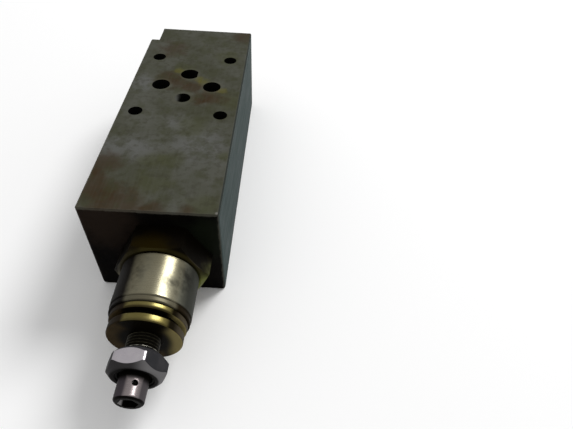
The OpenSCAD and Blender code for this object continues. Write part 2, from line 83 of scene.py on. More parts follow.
# Places that the frame gives
BLOCK_LOW, BLOCK_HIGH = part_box("valve_body")
HEX_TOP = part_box("hex_plug")[1].z
SLEEVE_LOW, SLEEVE_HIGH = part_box("spring_sleeve")
BUSH_LOW, BUSH_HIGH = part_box("end_bush")
NUT_LOW, NUT_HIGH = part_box("lock_nut")
SPINDLE_LOW, SPINDLE_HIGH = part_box("adjusting_spindle")
AXIS_X = (SLEEVE_LOW.x + SLEEVE_HIGH.x) / 2
AXIS_Z = (SLEEVE_LOW.z + SLEEVE_HIGH.z) / 2
HEX_FRONT = SLEEVE_HIGH.y
WASHER_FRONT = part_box("bush_seal_washer")[0].y
PORT_SEALS = ("p_port_o_ring", "t_port_o_ring", "a_port_o_ring", "b_port_o_ring")
PORT_PLACES = [(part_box(seal)[0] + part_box(seal)[1]) / 2 for seal in PORT_SEALS]
B_PORT = PORT_PLACES[3]
SPRING_LOW, SPRING_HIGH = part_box("main_spring")
SPRING_MIDDLE = (SPRING_LOW + SPRING_HIGH) / 2

# Length of the bush's rear band
REAR_BAND = 2.2 * MM

# The ring that a face seal marks round a port
MARK_INNER_R = 3.4 * MM
MARK_OUTER_R = 5.0 * MM

# Direction of the adjuster's underside round its axis, in degrees
UNDERSIDE_TURN = 254

# Share of the adjuster's painted shade and oil that its underside keeps
UNDERSIDE_SHADE_SHARE = 0.4

# Sizes of the spindle
THREAD_R = 4.9 * MM
THREAD_PITCH = 1.0 * MM
THREAD_DEPTH = 0.61 * MM
THREAD_ROOT_SHARE = 0.25
THREAD_CREST_SHARE = 0.875
THREAD_SINK = 0.8 * MM
THREAD_STEPS_IN_PITCH = 16
SPINDLE_STEPS = 64
TIP_R = 4.25 * MM
TIP_CHAMFER = 0.55 * MM
TIP_ROUND = 0.6 * MM
SOCKET_AF = 5.0 * MM
SOCKET_DEPTH = 4.5 * MM
SOCKET_EDGE_R = 3.0 * MM
WIRE_HOLE_R = 0.9 * MM
WIRE_HOLE_BACK = 4.25 * MM
WIRE_HOLE_TILT = 22
SHOULDER_BACK = 9.0 * MM
SHANK_SEAL_BACK = 1.0 * MM
SHANK_SEAL_WIDTH = 2.0 * MM
SHANK_SEAL_DEPTH = 1.5 * MM

# Sizes of the lock nut
NUT_AF = 15.8 * MM
NUT_TURN = 6.5
NUT_CHAMFER_WIDTH = 1.0 * MM
NUT_CORNER_R = 1.4 * MM
NUT_EDGE_R = 0.3 * MM
NUT_BORE_R = 4.95 * MM
NUT_RECESS_R = 5.6 * MM
NUT_RECESS_DEPTH = 2.0 * MM

# The notch in the block's rear corner
NOTCH_WIDTH = 3.85 * MM
NOTCH_LENGTH = 11.3 * MM
NOTCH_MARGIN = 0.2 * MM

# Stains on the block's top face: x, y and radius in millimetres, and how ragged they are
GREY_STAINS = (
    (12, -38, 16, 1.0), (-18, -42, 11, 1.0), (-9, -42, 10, 1.0), (-18, -1, 8, 1.2), (2, -26, 7, 1.0),
)
OLIVE_STAINS = (
    (-3.5, -48, 7, 1.4), (-2, -60, 10, 1.5), (3, -47, 6, 1.4), (8, -28, 9, 1.5),
    (18, -10, 9, 1.2), (21, -44, 4, 1.3), (17, -68, 8, 1.2), (-4, 11, 6, 1.3), (14, 22, 8, 1.5),
)
BROWN_STAINS = (
    (-9, 4, 7, 1.6), (-4, 0, 7, 1.6), (3, -2, 6, 1.6), (12, -9, 8, 1.5), (7, -9, 6, 1.5),
    (-11, 28, 9, 1.5), (20, 43, 8, 1.0), (-19, -51, 9, 1.3), (-20, -64, 13, 1.3), (-10, -69, 13, 1.4),
    (2, -72, 6, 1.3), (12, -71, 4, 1.2),
)
YELLOW_STAINS = (
    (4.6, 4.6, 3.0, 1.7), (6.3, 2.4, 3.2, 1.9), (14.8, -3.6, 2.8, 1.6), (-4.9, 9.8, 2.6, 1.7),
)

# Smudges on the sleeve: degrees round its axis, place along it and radius in millimetres, and strength
SLEEVE_SMUDGES = (
    (111, -88, 10, 0.75), (98, -86.5, 6, 0.5), (104, -95, 4, 0.5), (48, -92, 6, 0.75),
    (40, -87.5, 6, 0.8),
)

# The photograph's camera
CAMERA_PLACE = Vector((42.64, -174.78, 152.08)) * MM
CAMERA_TURN = (42.9586, -2.3587, 2.0535)
CAMERA_LENS = 30.70

# Key light from behind and to the right, and a soft sky that is brightest overhead
KEY_DIRECTION = Vector((0.47, 0.53, 0.72))
KEY_DISTANCE = 1.8
KEY_SIZE = 0.76
KEY_POWER = 20.0
SKY_LEVEL = 0.68
HORIZON_LEVEL = 0.5
SKY_FALL = 1.7
FLOOR_SIZE = 30.0
FLOOR_COLOUR = (0.97, 0.97, 0.97, 1)


# Turned pieces


def rounded(points, radius, steps=4, hold=0.06 * MM):
    """An outline with rounded corners, and a point on each side of a corner to keep the flats flat."""
    result = [points[0]]
    for before, corner, after in zip(points, points[1:], points[2:]):
        corner = Vector(corner)
        into, out = Vector(before) - corner, Vector(after) - corner
        turn = math.pi - into.angle(out)
        shorter = min(into.length, out.length)
        reach = min(radius * math.tan(turn / 2), ROUND_SHARE * shorter)
        keep = min(hold, HOLD_SHARE * shorter)
        start, end = corner + into.normalized() * reach, corner + out.normalized() * reach
        result.append(start + into.normalized() * keep)
        for step in range(steps + 1):
            share = step / steps
            result.append(start.lerp(corner, share).lerp(corner.lerp(end, share), share))
        result.append(end + out.normalized() * keep)
    result.append(points[-1])
    return result


def new_piece(name, shape):
    """An object at the origin from a finished shape, smooth apart from its sharp edges."""
    mesh = bpy.data.meshes.new(name)
    shape.to_mesh(mesh)
    shape.free()
    made = bpy.data.objects.new(name, mesh)
    bpy.context.scene.collection.objects.link(made)
    smooth(mesh)
    return made


def smooth(mesh):
    mesh.shade_smooth()
    mesh.set_sharp_from_angle(angle=math.radians(SHARP_TURN))


def turned(angles, section_at):
    """A closed shape round the adjuster's axis: a half section is spun, then takes each angle's form."""
    shape = bmesh.new()
    station = shape.verts.layers.int.new("station")
    sections = [section_at(angle) for angle in angles]
    line = [shape.verts.new((AXIS_X + r, y, AXIS_Z)) for r, y in sections[0]]
    for place, vert in enumerate(line):
        vert[station] = place
    edges = [shape.edges.new(ends) for ends in zip(line, line[1:])]
    count = len(angles)
    bmesh.ops.spin(
        shape, geom=line + edges, cent=(AXIS_X, 0, AXIS_Z), axis=(0, 1, 0), angle=math.tau, steps=count,
        use_merge=True)
    for vert in shape.verts:
        spun = math.atan2(vert.co.z - AXIS_Z, vert.co.x - AXIS_X)
        step = round(spun / math.tau * count) % count
        r, y = sections[step][vert[station]]
        vert.co = (AXIS_X + r * math.cos(angles[step]), y, AXIS_Z + r * math.sin(angles[step]))
    bmesh.ops.remove_doubles(shape, verts=shape.verts, dist=SAME_POINT)
    bmesh.ops.recalc_face_normals(shape, faces=shape.faces)
    return shape


def hexagon_angles(corner_share, flat_steps=12, corner_steps=6):
    """Angles round a hexagon from a corner's middle: close together on its rounded corners."""
    angles = []
    flat_share = math.radians(60) - 2 * corner_share
    for side in range(6):
        corner = math.radians(60 * side)
        for step in range(corner_steps):
            angles.append(corner + corner_share * (2 * step / corner_steps - 1))
        for step in range(flat_steps):
            angles.append(corner + corner_share + flat_share * step / flat_steps)
    return angles


def lock_nut():
    """Hexagon nut with wide chamfers, rounded corners and the recess of its seal ring."""
    flat_r = NUT_AF / 2
    corner_centre = (flat_r - NUT_CORNER_R) / math.cos(math.radians(30))
    corner_reach = corner_centre + NUT_CORNER_R * math.cos(math.radians(30))
    corner_share = math.atan2(NUT_CORNER_R * math.sin(math.radians(30)), corner_reach)
    face_r = flat_r - NUT_CHAMFER_WIDTH
    front, back = NUT_LOW.y, NUT_HIGH.y

    def hexagon_r(angle):
        from_corner = abs((angle + math.radians(30)) % math.radians(60) - math.radians(30))
        if from_corner > corner_share:
            return flat_r / math.cos(math.radians(30) - from_corner)
        off = corner_centre * math.sin(from_corner)
        return corner_centre * math.cos(from_corner) + math.sqrt(NUT_CORNER_R ** 2 - off ** 2)

    def section_at(angle):
        outer = hexagon_r(angle - math.radians(NUT_TURN))
        rise = outer - face_r
        middle = (outer, (front + back) / 2)
        outline = [
            middle, (outer, back - rise), (face_r, back), (NUT_BORE_R, back),
            (NUT_BORE_R, front + NUT_RECESS_DEPTH), (NUT_RECESS_R, front + NUT_RECESS_DEPTH),
            (NUT_RECESS_R, front), (face_r, front), (outer, front + rise), middle,
        ]
        return rounded(outline, NUT_EDGE_R)

    angles = [angle + math.radians(NUT_TURN) for angle in hexagon_angles(corner_share)]
    return new_piece("zinc_lock_nut", turned(angles, section_at))


def thread_r(angle, y):
    """Radius of a right handed 60 degree thread with a flat crest and root."""
    place = (y / THREAD_PITCH + angle / math.tau) % 1
    flank = min(max(abs(place - 0.5) * 2, THREAD_ROOT_SHARE), THREAD_CREST_SHARE)
    sunk = (THREAD_CREST_SHARE - flank) / (THREAD_CREST_SHARE - THREAD_ROOT_SHARE)
    return THREAD_R - THREAD_DEPTH * sunk


def cut(piece, cutters):
    """Takes the cutters' shapes out of a piece and deletes them."""
    for cutter in cutters:
        tool = piece.modifiers.new(cutter.name, "BOOLEAN")
        tool.operation = "DIFFERENCE"
        tool.solver = "EXACT"
        tool.object = cutter
    bpy.context.view_layer.update()
    plain = piece.data
    whole = piece.evaluated_get(bpy.context.evaluated_depsgraph_get())
    piece.data = bpy.data.meshes.new_from_object(whole)
    piece.data.name = piece.name
    piece.modifiers.clear()
    bpy.data.meshes.remove(plain)
    for cutter in cutters:
        bpy.data.objects.remove(cutter)
    smooth(piece.data)


def spindle():
    """Adjusting screw: rounded tip, fine thread, sealed shank, hexagon socket and cross hole."""
    tip, end = SPINDLE_LOW.y, SPINDLE_HIGH.y
    thread_start = NUT_LOW.y + THREAD_SINK
    shoulder = BUSH_LOW.y + SHOULDER_BACK
    shank = (SPINDLE_HIGH.x - SPINDLE_LOW.x) / 2
    seal = shoulder + SHANK_SEAL_BACK
    seal_end = seal + SHANK_SEAL_WIDTH
    root = shank - SHANK_SEAL_DEPTH
    tip_line = [(0, tip), (TIP_R - TIP_CHAMFER, tip), (TIP_R, tip + TIP_CHAMFER), (TIP_R, thread_start)]
    shank_line = [
        (THREAD_R, shoulder), (shank, shoulder), (shank, seal), (root, seal), (root, seal_end),
        (shank, seal_end), (shank, end), (0, end),
    ]
    stations = int((shoulder - thread_start) / THREAD_PITCH * THREAD_STEPS_IN_PITCH)

    def section_at(angle):
        thread = []
        for step in range(1, stations):
            y = thread_start + (shoulder - thread_start) * step / stations
            lead_in = TIP_R + (y - thread_start)
            thread.append((min(thread_r(angle, y), lead_in), y))
        return rounded(tip_line, TIP_ROUND) + thread + shank_line

    angles = [math.tau * step / SPINDLE_STEPS for step in range(SPINDLE_STEPS)]
    made = new_piece("threaded_spindle", turned(angles, section_at))

    on_axis = Matrix.Translation((AXIS_X, 0, AXIS_Z))
    along = Matrix.Rotation(math.radians(90), 4, "X") @ Matrix.Rotation(math.radians(90), 4, "Z")
    socket_r = SOCKET_AF / math.sqrt(3)
    socket = bmesh.new()
    bmesh.ops.create_cone(
        socket, cap_ends=True, segments=6, radius1=socket_r, radius2=socket_r, depth=2 * SOCKET_DEPTH,
        matrix=on_axis @ Matrix.Translation((0, tip, 0)) @ along)
    wire_hole = bmesh.new()
    bmesh.ops.create_cone(
        wire_hole, cap_ends=True, segments=32, radius1=WIRE_HOLE_R, radius2=WIRE_HOLE_R, depth=4 * TIP_R,
        matrix=on_axis @ Matrix.Translation((0, tip + WIRE_HOLE_BACK, 0))
        @ Matrix.Rotation(math.radians(WIRE_HOLE_TILT), 4, "Y"))
    cut(made, [new_piece("socket_cutter", socket), new_piece("wire_hole_cutter", wire_hole)])
    return made


# The pressure spring


def spring_half(name, seat_end):
    """Half of the pressure spring, from its middle to the end that a moving seat presses on."""
    is_rear = seat_end > SPRING_MIDDLE.y
    shape = bmesh.new()
    shape.from_mesh(NODES["main_spring"].data)
    bmesh.ops.remove_doubles(shape, verts=shape.verts, dist=SAME_POINT)
    whole = shape.verts[:] + shape.edges[:] + shape.faces[:]
    bmesh.ops.bisect_plane(
        shape, geom=whole, dist=ON_MIDDLE, plane_co=SPRING_MIDDLE, plane_no=(0, 1, 0),
        clear_inner=is_rear, clear_outer=not is_rear)
    bmesh.ops.edgeloop_fill(shape, edges=[edge for edge in shape.edges if edge.is_boundary])
    bmesh.ops.recalc_face_normals(shape, faces=shape.faces)
    return new_piece(name, shape)


# Shader building


def put(tree, kind, inputs=None, **settings):
    """A new node with its settings, whose inputs are values or other nodes' sockets."""
    made = tree.nodes.new(kind)
    for name, value in settings.items():
        setattr(made, name, value)
    for key, value in (inputs or {}).items():
        if isinstance(value, bpy.types.NodeSocket):
            tree.links.new(value, made.inputs[key])
        else:
            made.inputs[key].default_value = value
    return made


def maths(tree, operation, first, second=0.0):
    """Socket of a maths node."""
    return put(tree, "ShaderNodeMath", {0: first, 1: second}, operation=operation).outputs[0]


def spread(tree, value, low, high, to_low=0.0, to_high=1.0):
    """Socket that runs smoothly from to_low to to_high while value runs from low to high."""
    inputs = {"Value": value, "From Min": low, "From Max": high, "To Min": to_low, "To Max": to_high}
    return put(tree, "ShaderNodeMapRange", inputs, interpolation_type="SMOOTHSTEP").outputs["Result"]


def blend(tree, share, colour, other):
    """Colour socket that changes from colour to other by share."""
    return put(tree, "ShaderNodeMix", {0: share, 6: colour, 7: other}, data_type="RGBA").outputs[2]


def both(tree, first, second):
    """Mask where both masks are set."""
    return maths(tree, "MULTIPLY", first, second)


def either(tree, first, second):
    """Mask where one of the masks is set."""
    return maths(tree, "MAXIMUM", first, second)


def outside(tree, mask):
    """Mask where the mask isn't set."""
    return maths(tree, "SUBTRACT", 1.0, mask)


def weakened(tree, mask, strength):
    """Mask times a strength."""
    return maths(tree, "MULTIPLY", mask, strength)


def parts(tree, vector):
    """Sockets of a vector's three parts."""
    return put(tree, "ShaderNodeSeparateXYZ", {0: vector}).outputs


def object_coords(tree):
    return put(tree, "ShaderNodeTexCoord").outputs["Object"]


def facing(tree):
    """Sockets of the three parts of the surface's direction in the object's own frame."""
    return parts(tree, put(tree, "ShaderNodeTexCoord").outputs["Normal"])


def noise(tree, coords, scale, detail=4.0, roughness=0.55):
    """Value socket of a noise pattern with that many waves in a metre."""
    inputs = {"Vector": coords, "Scale": scale, "Detail": detail, "Roughness": roughness}
    return put(tree, "ShaderNodeTexNoise", inputs).outputs["Fac"]


def stretched(tree, coords, factors):
    """Coordinates times a factor for each axis."""
    return put(tree, "ShaderNodeMapping", {"Vector": coords, "Scale": factors}).outputs["Vector"]


def new_group(name, inputs, output):
    """An empty shader node group, the sockets that it is given and the one that it puts out."""
    group = bpy.data.node_groups.new(name, "ShaderNodeTree")
    for label, kind in inputs:
        group.interface.new_socket(label, in_out="INPUT", socket_type=kind)
    group.interface.new_socket(output, in_out="OUTPUT", socket_type="NodeSocketFloat")
    given = group.nodes.new("NodeGroupInput").outputs
    return group, given, group.nodes.new("NodeGroupOutput").inputs[0]


def use_group(tree, group, inputs):
    """The output of a node group that is placed in a material."""
    return put(tree, "ShaderNodeGroup", inputs, node_tree=group).outputs[0]


VECTOR = "NodeSocketVector"
NUMBER = "NodeSocketFloat"


def vector_maths(group, operation, first, second=(0, 0, 0), output="Vector"):
    """Socket of a vector maths node."""
    return put(group, "ShaderNodeVectorMath", {0: first, 1: second}, operation=operation).outputs[output]


def distance(group, first, second):
    """Socket of the distance between two places."""
    return vector_maths(group, "DISTANCE", first, second, "Value")


def blotches_group():
    """Blotches: 1 inside a blotch and 0 outside, with a soft edge."""
    inputs = (("Vector", VECTOR), ("Scale", NUMBER), ("Start", NUMBER), ("Full", NUMBER))
    group, given, result = new_group("blotches", inputs, "Mask")
    pattern = noise(group, given["Vector"], given["Scale"], 6.0, 0.6)
    group.links.new(spread(group, pattern, given["Start"], given["Full"]), result)
    return group


def spot_group():
    """A round spot: 1 at its centre and 0 past its radius, with a ragged edge."""
    inputs = (("Vector", VECTOR), ("Centre", VECTOR), ("Radius", NUMBER), ("Ragged", NUMBER))
    group, given, result = new_group("spot", inputs, "Mask")
    share = maths(group, "DIVIDE", distance(group, given["Vector"], given["Centre"]), given["Radius"])
    uneven = maths(group, "SUBTRACT", noise(group, given["Vector"], 190.0, 5.0), 0.5)
    share = maths(group, "ADD", share, maths(group, "MULTIPLY", uneven, given["Ragged"]))
    group.links.new(spread(group, share, 1.0, 0.25), result)
    return group


def port_mark_group():
    """The ring that a face seal marks round a port."""
    inputs = (("Vector", VECTOR), ("Centre", VECTOR), ("Inner", NUMBER), ("Outer", NUMBER))
    group, given, result = new_group("port mark", inputs, "Mask")
    away = vector_maths(group, "SUBTRACT", given["Vector"], given["Centre"])
    flat = vector_maths(group, "MULTIPLY", away, (1, 1, 0))
    length = vector_maths(group, "LENGTH", flat, output="Value")
    within = spread(group, length, given["Outer"], maths(group, "MULTIPLY", given["Outer"], 0.82))
    beyond = spread(group, length, maths(group, "MULTIPLY", given["Inner"], 0.9), given["Inner"])
    group.links.new(both(group, within, beyond), result)
    return group


def depth_group(name, place):
    """Distance to the block's nearest upright wall, nearest side or, on its skin, nearest edge."""
    inputs = (("Vector", VECTOR), ("Low", VECTOR), ("High", VECTOR))
    group, given, result = new_group(name, inputs, "Distance")
    over = vector_maths(group, "SUBTRACT", given["Vector"], given["Low"])
    under = vector_maths(group, "SUBTRACT", given["High"], given["Vector"])
    x, y, z = parts(group, vector_maths(group, "MINIMUM", over, under))
    low, high = maths(group, "MINIMUM", x, y), maths(group, "MAXIMUM", x, y)
    if place == "wall":
        group.links.new(low, result)
    elif place == "side":
        group.links.new(maths(group, "MINIMUM", low, z), result)
    else:
        group.links.new(maths(group, "MAXIMUM", low, maths(group, "MINIMUM", high, z)), result)
    return group


def rings_group():
    """Fine rings left by turning: a tone from 0 to 1 that changes only along the adjuster's axis."""
    group, given, result = new_group("turned rings", (("Vector", VECTOR), ("Rings", NUMBER)), "Tone")
    along = parts(group, given["Vector"])["Y"]
    inputs = {"W": maths(group, "MULTIPLY", along, given["Rings"]), "Scale": 1.0, "Detail": 3.0}
    pattern = put(group, "ShaderNodeTexNoise", inputs, noise_dimensions="1D")
    group.links.new(pattern.outputs["Fac"], result)
    return group


def facing_shade_group():
    """Painted shade on a metal piece by the way it faces: 0 where Up is high and 1 where it is low,
    ragged between.
    """
    inputs = (
        ("Vector", VECTOR), ("Up", NUMBER), ("Unshaded", NUMBER), ("Shaded", NUMBER), ("Ragged", NUMBER))
    group, given, result = new_group("painted side shade", inputs, "Mask")
    uneven = maths(group, "SUBTRACT", noise(group, given["Vector"], 260.0, 5.0), 0.5)
    level = maths(group, "ADD", given["Up"], maths(group, "MULTIPLY", uneven, given["Ragged"]))
    group.links.new(spread(group, level, given["Unshaded"], given["Shaded"]), result)
    return group


def around_group():
    """How close a point lies to a direction round the adjuster's axis: 1 there, 0 a quarter turn away."""
    group, given, result = new_group("round place", (("Vector", VECTOR), ("Toward", VECTOR)), "Share")
    away = vector_maths(group, "SUBTRACT", given["Vector"], (AXIS_X, 0, AXIS_Z))
    flat = vector_maths(group, "MULTIPLY", away, (1, 0, 1))
    unit = vector_maths(group, "NORMALIZE", flat)
    group.links.new(vector_maths(group, "DOT_PRODUCT", unit, given["Toward"], "Value"), result)
    return group


def axis_distance_group():
    """Distance of a point from the adjuster's axis."""
    group, given, result = new_group("axis distance", (("Vector", VECTOR),), "Distance")
    flat = vector_maths(group, "MULTIPLY", given["Vector"], (1, 0, 1))
    group.links.new(distance(group, flat, (AXIS_X, 0, AXIS_Z)), result)
    return group


BLOTCHES = blotches_group()
SPOT = spot_group()
PORT_MARK = port_mark_group()
BLOCK_EDGE = depth_group("block edge distance", "edge")
BLOCK_SIDE = depth_group("block side distance", "side")
BLOCK_WALL = depth_group("block wall distance", "wall")
RINGS = rings_group()
FACING_SHADE = facing_shade_group()
AROUND = around_group()
AXIS_DISTANCE = axis_distance_group()


def blotches(tree, coords, scale, start, full):
    return use_group(tree, BLOTCHES, {"Vector": coords, "Scale": scale, "Start": start, "Full": full})


def spot(tree, coords, centre, radius, ragged):
    return use_group(tree, SPOT, {"Vector": coords, "Centre": centre, "Radius": radius, "Ragged": ragged})


def facing_shade(tree, coords, up, unshaded_level, shaded_level, ragged):
    inputs = {"Vector": coords, "Up": up, "Unshaded": unshaded_level, "Shaded": shaded_level, "Ragged": ragged}
    return use_group(tree, FACING_SHADE, inputs)


def around(tree, coords, degrees):
    toward = (math.cos(math.radians(degrees)), 0, math.sin(math.radians(degrees)))
    return use_group(tree, AROUND, {"Vector": coords, "Toward": toward})


def axis_distance(tree, coords):
    return use_group(tree, AXIS_DISTANCE, {"Vector": coords})


def underside(tree, coords, above=0.0, below=1.0):
    """Value that runs from above to below towards the adjuster's underside."""
    return spread(tree, around(tree, coords, UNDERSIDE_TURN), 0.1, 0.65, above, below)


def weaker_shade_below(tree, coords, shade_and_dirt):
    """Painted shade and dirt that is weaker on the adjuster's underside."""
    return both(tree, shade_and_dirt, underside(tree, coords, 1.0, UNDERSIDE_SHADE_SHARE))


def rings(tree, coords, count):
    return use_group(tree, RINGS, {"Vector": coords, "Rings": count})


def new_material(name, **shader_values):
    """A material with one Principled shader, whose constant values are set on its own sockets."""
    material = bpy.data.materials.new(name)
    material.use_nodes = True
    shader = material.node_tree.nodes["Principled BSDF"]
    for key, value in shader_values.items():
        shader.inputs[key.replace("_", " ")].default_value = value
    return material, material.node_tree, shader.inputs


def bump(tree, height, strength, distance_moved):
    inputs = {"Height": height, "Strength": strength, "Distance": distance_moved}
    return put(tree, "ShaderNodeBump", inputs).outputs["Normal"]


# Materials

# Colours of the block's top face
OLIVE_STEEL = (0.053, 0.054, 0.037, 1)
PALE_OLIVE_STEEL = (0.077, 0.078, 0.064, 1)
GREY_STAIN = (0.108, 0.109, 0.104, 1)
OLIVE_STAIN = (0.05, 0.053, 0.022, 1)
BROWN_STAIN = (0.038, 0.022, 0.01, 1)
YELLOW_STAIN = (0.11, 0.1, 0.022, 1)
OLIVE_MOTTLE = (0.042, 0.044, 0.022, 1)
DARK_SPECK = (0.034, 0.032, 0.02, 1)
GRIND_MARK = (0.12, 0.12, 0.108, 1)
SEAL_MARK = (0.12, 0.115, 0.088, 1)

# Colours of the block's sides, front, edges and bores
SIDE_STEEL = (0.046, 0.048, 0.04, 1)
PALE_SIDE_STEEL = (0.068, 0.07, 0.062, 1)
# Painted blue reflection on the right side
BLUE_SIDE_REFLECTION = (0.03, 0.046, 0.044, 1)
PALE_BLUE_SIDE_REFLECTION = (0.043, 0.057, 0.056, 1)
# Painted shade over dark oil on the front face, with brown and greenish tints
FRONT_SHADE_AND_OIL = (0.0015, 0.0012, 0.001, 1)
PALE_FRONT_SHADE_AND_OIL = (0.003, 0.0024, 0.0018, 1)
BROWN_FRONT_SHADE_AND_OIL = (0.014, 0.009, 0.006, 1)
GREEN_TINT_IN_FRONT_SHADE = (0.005, 0.0065, 0.0035, 1)
WORN_EDGE = (0.12, 0.112, 0.09, 1)
BARE_NICK = (0.15, 0.145, 0.13, 1)
# Painted shade on the right edge break
RIGHT_EDGE_BREAK_SHADE = (0.03, 0.034, 0.03, 1)
# Painted shade in the bores, and a painted lit patch on port B's lip
BORE_SHADE = (0.004, 0.0035, 0.003, 1)
LIT_BORE_LIP = (0.12, 0.12, 0.105, 1)

# Colours of the gold bush and hexagon
GOLD = (0.17, 0.14, 0.045, 1)
PALE_GOLD = (0.24, 0.205, 0.08, 1)
CLOUDED_GOLD = (0.14, 0.12, 0.04, 1)
# The bush front's browns are darkened with painted shade
BUSH_FRONT_BROWN = (0.03, 0.0185, 0.006, 1)
PALE_BUSH_FRONT_BROWN = (0.045, 0.03, 0.011, 1)
# Painted shade on the bands' sides and on the right
BAND_SHADE = (0.014, 0.0095, 0.005, 1)
RIGHT_BUSH_SHADE = (0.006, 0.004, 0.001, 1)
# Painted reflections at the far right and on the front's right rim
FAR_RIGHT_BUSH_REFLECTION = (0.05, 0.04, 0.025, 1)
BUSH_RIM_REFLECTION = (0.19, 0.155, 0.06, 1)
# Black painted shade, also the dark seam by the washer
BUSH_BLACK = (0.003, 0.0022, 0.001, 1)
# Painted shade on the hexagon, dark brown on its top
SHADED_HEX_TOP_BROWN = (0.016, 0.0105, 0.001, 1)
# Painted highlights on the front rim and, olive, at the right
HEX_RIM_HIGHLIGHT = (0.05, 0.043, 0.014, 1)
HEX_OLIVE_HIGHLIGHT = (0.08, 0.09, 0.012, 1)
HEX_UNDERSIDE_GOLD = (0.2, 0.165, 0.05, 1)
# Painted shade over the rest of the hexagon
HEX_SHADE = (0.0025, 0.0018, 0.0008, 1)

# Colours of the turned sleeve and its washer
SLEEVE_STEEL = (0.215, 0.197, 0.132, 1)
PALE_SLEEVE_STEEL = (0.26, 0.24, 0.168, 1)
SLEEVE_FILM = (0.14, 0.126, 0.078, 1)
# Painted reflection on the right side, and painted shade at the far right
SLEEVE_RIGHT_REFLECTION = (0.15, 0.15, 0.115, 1)
FAR_RIGHT_SLEEVE_SHADE = (0.03, 0.031, 0.025, 1)
# Darker next to the washer
WASHER_EDGE_DARK = (0.012, 0.008, 0.003, 1)
# Painted shade on the left, also the colour of the real smudges
SLEEVE_SHADE_AND_OIL = (0.005, 0.004, 0.003, 1)

# Colours of the zinc nut
ZINC = (0.5, 0.467, 0.5, 1)
PALE_ZINC = (0.55, 0.517, 0.54, 1)
# Painted shade on the nut's sides and front, a painted reflection on the front's right and painted shade
# in the recess
NUT_SIDE_SHADE = (0.025, 0.025, 0.0275, 1)
PALE_NUT_SIDE_SHADE = (0.036, 0.035, 0.0375, 1)
NUT_FRONT_SHADE = (0.04, 0.0375, 0.0385, 1)
NUT_FRONT_RIGHT_REFLECTION = (0.22, 0.214, 0.217, 1)
NUT_RECESS_SHADE = (0.003, 0.0025, 0.0025, 1)

# Colours of the spindle
SPINDLE_STEEL = (0.25, 0.215, 0.215, 1)
PALE_SPINDLE_STEEL = (0.31, 0.27, 0.27, 1)
THREAD_STEEL = (0.05, 0.046, 0.03, 1)
THREAD_CREST = (0.07, 0.064, 0.042, 1)
# Bright crest behind the nut, for a painted highlight
HIGHLIGHT_CREST = (0.4, 0.39, 0.34, 1)
# Painted shade on the sides, and painted shade with oil on the end, socket and thread
SPINDLE_SIDE_SHADE = (0.045, 0.038, 0.043, 1)
PALE_SPINDLE_SIDE_SHADE = (0.06, 0.053, 0.056, 1)
SPINDLE_SHADE_AND_OIL = (0.003, 0.0025, 0.002, 1)
# Painted reflection on the socket's left wall
SOCKET_WALL_REFLECTION = (0.42, 0.4, 0.4, 1)

# Colours of the rear plug, the steel pieces inside and the seals
PLUG_STEEL = (0.06, 0.056, 0.05, 1)
PALE_PLUG_STEEL = (0.11, 0.105, 0.095, 1)
INNER_STEEL = (0.36, 0.36, 0.355, 1)
PALE_INNER_STEEL = (0.48, 0.48, 0.47, 1)
RUBBER = (0.003, 0.003, 0.003, 1)
DUSTY_RUBBER = (0.006, 0.0058, 0.0055, 1)

# Specular levels under a film of old oil
BLOCK_SPECULAR = 0.015
OIL_SPECULAR = 0.02


def stained(tree, coords, colour, places, stain_colour, strength):
    """Colour with ragged stains of one colour on the block's top face."""
    for x, y, radius, ragged in places:
        share = spot(tree, coords, (x * MM, y * MM, BLOCK_HIGH.z), radius * MM, ragged)
        colour = blend(tree, weakened(tree, share, strength), colour, stain_colour)
    return colour


def block_top(tree, coords, grind):
    """Top face: clouds, stains and specks, grinding marks and the rings of face seals."""
    colour = blend(tree, blotches(tree, coords, 46.0, 0.36, 0.66), OLIVE_STEEL, PALE_OLIVE_STEEL)
    colour = stained(tree, coords, colour, GREY_STAINS, GREY_STAIN, 0.72)
    colour = stained(tree, coords, colour, OLIVE_STAINS, OLIVE_STAIN, 0.55)
    colour = stained(tree, coords, colour, BROWN_STAINS, BROWN_STAIN, 0.68)
    mottle = blotches(tree, coords, 170.0, 0.46, 0.66)
    colour = blend(tree, weakened(tree, mottle, 0.55), colour, OLIVE_MOTTLE)
    specks = blotches(tree, coords, 420.0, 0.48, 0.64)
    colour = blend(tree, weakened(tree, specks, 0.35), colour, DARK_SPECK)
    colour = stained(tree, coords, colour, YELLOW_STAINS, YELLOW_STAIN, 0.5)
    colour = blend(tree, spread(tree, grind, 0.4, 0.75, 0.0, 0.08), colour, GRIND_MARK)
    for centre in PORT_PLACES:
        inputs = {"Vector": coords, "Centre": centre, "Inner": MARK_INNER_R, "Outer": MARK_OUTER_R}
        mark = use_group(tree, PORT_MARK, inputs)
        colour = blend(tree, weakened(tree, mark, 0.14), colour, SEAL_MARK)
    return colour


def block_sides(tree, coords, facing_x):
    """Upright sides: grey, with a painted blue grey reflection on the right."""
    clouds = blotches(tree, coords, 60.0, 0.35, 0.7)
    side = blend(tree, clouds, SIDE_STEEL, PALE_SIDE_STEEL)
    # The right side takes a painted blue reflection
    right = blend(tree, clouds, BLUE_SIDE_REFLECTION, PALE_BLUE_SIDE_REFLECTION)
    return blend(tree, spread(tree, facing_x, 0.5, 0.8), side, right)


